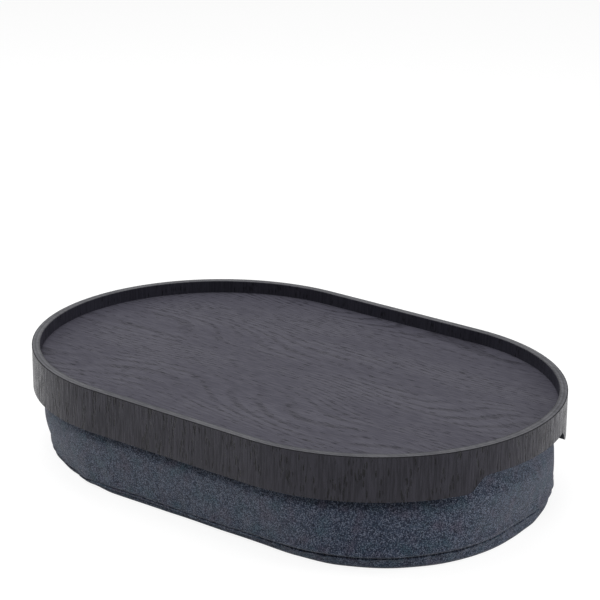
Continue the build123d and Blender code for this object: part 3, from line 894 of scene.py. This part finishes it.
# A small shape at each of many places, made a few dozen at a time, which keeps the operators quick
def repeatShape(matrices, addOne, batch=40):
    bm = bmesh.new()
    for first in range(0, len(matrices), batch):
        part = bmesh.new()
        for matrix in matrices[first:first + batch]:
            addOne(part, matrix)
        mesh = bpy.data.meshes.new("part")
        part.to_mesh(mesh)
        part.free()
        bm.from_mesh(mesh)
        bpy.data.meshes.remove(mesh)
    return bm


def addStitch(bm, matrix):
    bmesh.ops.create_uvsphere(bm, u_segments=stitchLook["sides"], v_segments=stitchLook["rings"], radius=0.5,
                              matrix=matrix)


def sew(name, runs, slot, body, *replaced):
    matrices = []
    size = Matrix.Diagonal((stitchLook["length"], stitchLook["width"], stitchLook["height"], 1))
    for run in runs:
        walked = 0.0
        for (start, out), (end, _) in zip(run, run[1:]):
            step = end - start
            while walked < step.length:
                forward = step.normalized()
                side = out.cross(forward).normalized()
                place = start + forward * walked - out * stitchLook["sunk"]
                axes = Matrix((forward, side, forward.cross(side))).transposed().to_4x4()
                matrices.append(Matrix.Translation(place) @ axes @ size)
                walked += stitchLook["spacing"]
            walked -= step.length
    bm = repeatShape(matrices, addStitch)
    return fit(makeObject(name, bm, smooth=True), slot, body, *replaced)


sew("lowerSeamStitches", [lowerSeamRun], "sewing_thread", "cushion", "lower_seam_thread")
sew("upperSeamStitches", [upperSeamRun], "sewing_thread", "cushion", "upper_seam_thread")
zipSeams = []
zipSeamLook = {"up": 0.0058, "past": 0.004}
rise, reach = zipUp * zipSeamLook["up"], Vector((zipPlace["halfLength"] + zipSeamLook["past"], 0, 0))
for sign in (-1, 1):
    for middle, half in ((rise * sign, reach), (reach * sign, rise)):
        zipSeams.append([(zipPlace["centre"] + middle + end, zipOut) for end in (-half, half)])
sew("zipSeamStitches", zipSeams, "sewing_thread", "cushion")
print("seams are stitched")

# The hook and loop strips
stripLook = {"halfLength": 0.06, "halfWidth": 0.0125, "corner": 0.003, "stitchIn": 0.0022,
             "places": [(-0.11, -0.08), (0.11, -0.08), (-0.11, 0.08), (0.11, 0.08)]}
loopLook = {"columns": 96, "rows": 20, "top": 0.0877, "bottom": 0.0869, "fuzz": 0.0003, "fuzzSize": 0.0011}
hookLook = {"columns": 12, "rows": 4, "backing": 0.0889, "top": 0.0893, "pegSpacing": 0.0027, "pegIn": 0.0014,
            "pegLength": 0.0005, "pegThick": 0.0003, "pegHead": 0.0005, "pegLean": 0.35, "pegShown": 0.4,
            "pegSides": 5}


def addStrip(bm, columns, rows, height):
    made = bmesh.ops.create_grid(bm, x_segments=columns, y_segments=rows, size=1.0)["verts"]
    half = (stripLook["halfLength"], stripLook["halfWidth"])
    bmesh.ops.scale(bm, vec=(*half, 1), verts=made)
    corner = stripLook["corner"]
    for vert in made:
        past = Vector([max(0.0, abs(vert.co[axis]) - half[axis] + corner) for axis in (0, 1)])
        if past.length > corner:
            past *= corner / past.length
            for axis in (0, 1):
                vert.co[axis] = math.copysign(half[axis] - corner + past[axis], vert.co[axis])
    bmesh.ops.translate(bm, vec=(0, 0, height), verts=made)
    return made


def loopStrips():
    bm = bmesh.new()
    borders = []
    for across, depth in stripLook["places"]:
        made = addStrip(bm, loopLook["columns"], loopLook["rows"], loopLook["top"])
        bmesh.ops.translate(bm, vec=(across, depth, 0), verts=made)
        for vert in made:
            vert.co.z += loopLook["fuzz"] * noise.noise(vert.co / loopLook["fuzzSize"])
        reach = stripLook["halfLength"] - stripLook["stitchIn"]
        width = stripLook["halfWidth"] - stripLook["stitchIn"]
        corners = [(-reach, -width), (reach, -width), (reach, width), (-reach, width), (-reach, -width)]
        borders.append([(Vector((across + x, depth + y, loopLook["top"])), Vector((0, 0, 1)))
                        for x, y in corners])
    made = makeObject("loopStrips", bm, smooth=True)
    thicken(made, loopLook["top"] - loopLook["bottom"])
    fit(made, "loop_tape", "cushion", "loop_strips")
    sew("loopStitches", borders, "sewing_thread", "cushion")


def addPeg(bm, matrix):
    bmesh.ops.create_cone(bm, cap_ends=True, segments=hookLook["pegSides"], radius1=hookLook["pegHead"] / 2,
                          radius2=hookLook["pegThick"] / 2, depth=hookLook["pegLength"], matrix=matrix)


def hookStrips():
    pegs = []
    columns, rows = (int((half - hookLook["pegIn"]) / hookLook["pegSpacing"])
                     for half in (stripLook["halfLength"], stripLook["halfWidth"]))
    foot = hookLook["backing"] - hookLook["pegLength"] * hookLook["pegShown"]
    for across, depth in stripLook["places"]:
        for column in range(-columns, columns + 1):
            for row in range(-rows, rows + 1):
                x, y = across + column * hookLook["pegSpacing"], depth + row * hookLook["pegSpacing"]
                lean = Matrix.Rotation(hookLook["pegLean"] if row % 2 else -hookLook["pegLean"], 4, "Y")
                pegs.append(Matrix.Translation((x, y, foot)) @ lean)
    bm = repeatShape(pegs, addPeg)
    for across, depth in stripLook["places"]:
        plate = addStrip(bm, hookLook["columns"], hookLook["rows"], hookLook["backing"])
        plate = list({face for vert in plate for face in vert.link_faces})
        grown = bmesh.ops.extrude_face_region(bm, geom=plate, use_keep_orig=True)["geom"]
        grown = [item for item in grown if isinstance(item, bmesh.types.BMVert)]
        bmesh.ops.translate(bm, vec=(0, 0, hookLook["top"] - hookLook["backing"]), verts=grown)
        moved = list({vert for face in plate for vert in face.verts}) + grown
        bmesh.ops.translate(bm, vec=(across, depth, 0), verts=moved)
    bmesh.ops.recalc_face_normals(bm, faces=bm.faces)
    fit(makeObject("hookStrips", bm), "hook_tape", "tray", "hook_strips")


loopStrips()
hookStrips()
print("strips are made")

# The liner bag and its filling follow the cover's form further in
innerLook = {"liner": {"inset": 0.0062, "low": 0.0019, "high": 0.0851, "split": 0.045, "crumple": 0.0012,
                       "crumpleSize": 0.02, "thickness": 0.0006},
             "filling": {"inset": 0.0088, "low": 0.004, "high": 0.083, "crumple": 0.001,
                         "crumpleSize": 0.009}}
innerHeights = [0.0045, 0.008, 0.0125, 0.018, 0.026, 0.035, 0.045, 0.055, 0.065, 0.074, 0.0795, 0.0825]


def innerSkin(name, look, heights, filled):
    bm = bmesh.new()
    levels = [smaller(levelAt(wholeShape, height), look["inset"]) for height in heights]
    if "first" in filled:
        levels = flatRows(levels[0], flatInsets["inner"], -clothRun["hair"]) + levels
    if "last" in filled:
        levels = levels + flatRows(levels[-1], flatInsets["inner"], clothRun["hair"])
    addWall(bm, levels, shellColumns, filled)
    bmesh.ops.recalc_face_normals(bm, faces=bm.faces)
    for vert in bm.verts:
        base = vert.co.copy()
        crumple = look["crumple"] * (1 + noise.noise(base / look["crumpleSize"]))
        place = settle(base, base) - outward(base) * crumple
        place.z = max(look["low"], min(look["high"], place.z))
        vert.co = place
    return makeObject(name, bm, smooth=True)


liner, filling = innerLook["liner"], innerLook["filling"]
lowerHeights = [liner["low"]] + [height for height in innerHeights if height <= liner["split"]]
upperHeights = [height for height in innerHeights if height >= liner["split"]] + [liner["high"]]
for name, heights, filled, node in (("linerLower", lowerHeights, ["first"], "inner_bag_lower"),
                                    ("linerUpper", upperHeights, ["last"], "inner_bag_upper")):
    bag = innerSkin(name, liner, heights, filled)
    thicken(bag, liner["thickness"])
    fit(bag, "liner_fabric", "cushion", node)
fillingHeights = [filling["low"]] + innerHeights[1:-1] + [filling["high"]]
beads = innerSkin("beadFilling", filling, fillingHeights, ["first", "last"])
fit(beads, "bead_filling", "cushion", "bead_filling")
print("liner and filling are inside")

# The zip's own pieces, with rounded edges
zipFinish = {"flat": 0.01, "segments": 2, "sharp": 35}
zipPieces = {  # each with its node, slot and body, and how far its edges are rounded
    "zipUpperTape": ("zip_upper_tape", "zip_tape", "cushion", 0.00012),
    "zipLowerTape": ("zip_lower_tape", "zip_tape", "cushion", 0.00012),
    "zipUpperTeeth": ("zip_upper_teeth", "zip_teeth", "cushion", 0.00015),
    "zipLowerTeeth": ("zip_lower_teeth", "zip_teeth", "cushion", 0.00015),
    "zipEndStops": ("zip_end_stops", "zip_teeth", "cushion", 0.0002),
    "zipSlider": ("zip_slider", "zip_metal", "slider", 0.0003),
    "zipPull": ("zip_pull", "zip_metal", "pull", 0.0002),
}
for name, (node, slot, body, width) in zipPieces.items():
    bm = bmesh.new()
    bm.from_mesh(nodes[node].data)
    bmesh.ops.remove_doubles(bm, verts=bm.verts, dist=samePoint)
    bmesh.ops.dissolve_limit(bm, angle_limit=zipFinish["flat"], verts=bm.verts, edges=bm.edges)
    made = makeObject(name, bm, smooth=True)
    made.data.materials.clear()
    rounded = made.modifiers.new("rounded", "BEVEL")
    rounded.width = width
    rounded.segments = zipFinish["segments"]
    rounded.limit_method = "ANGLE"
    rounded.angle_limit = math.radians(zipFinish["sharp"])
    rounded.harden_normals = True
    fit(made, slot, body, node)
print("zip is in place")
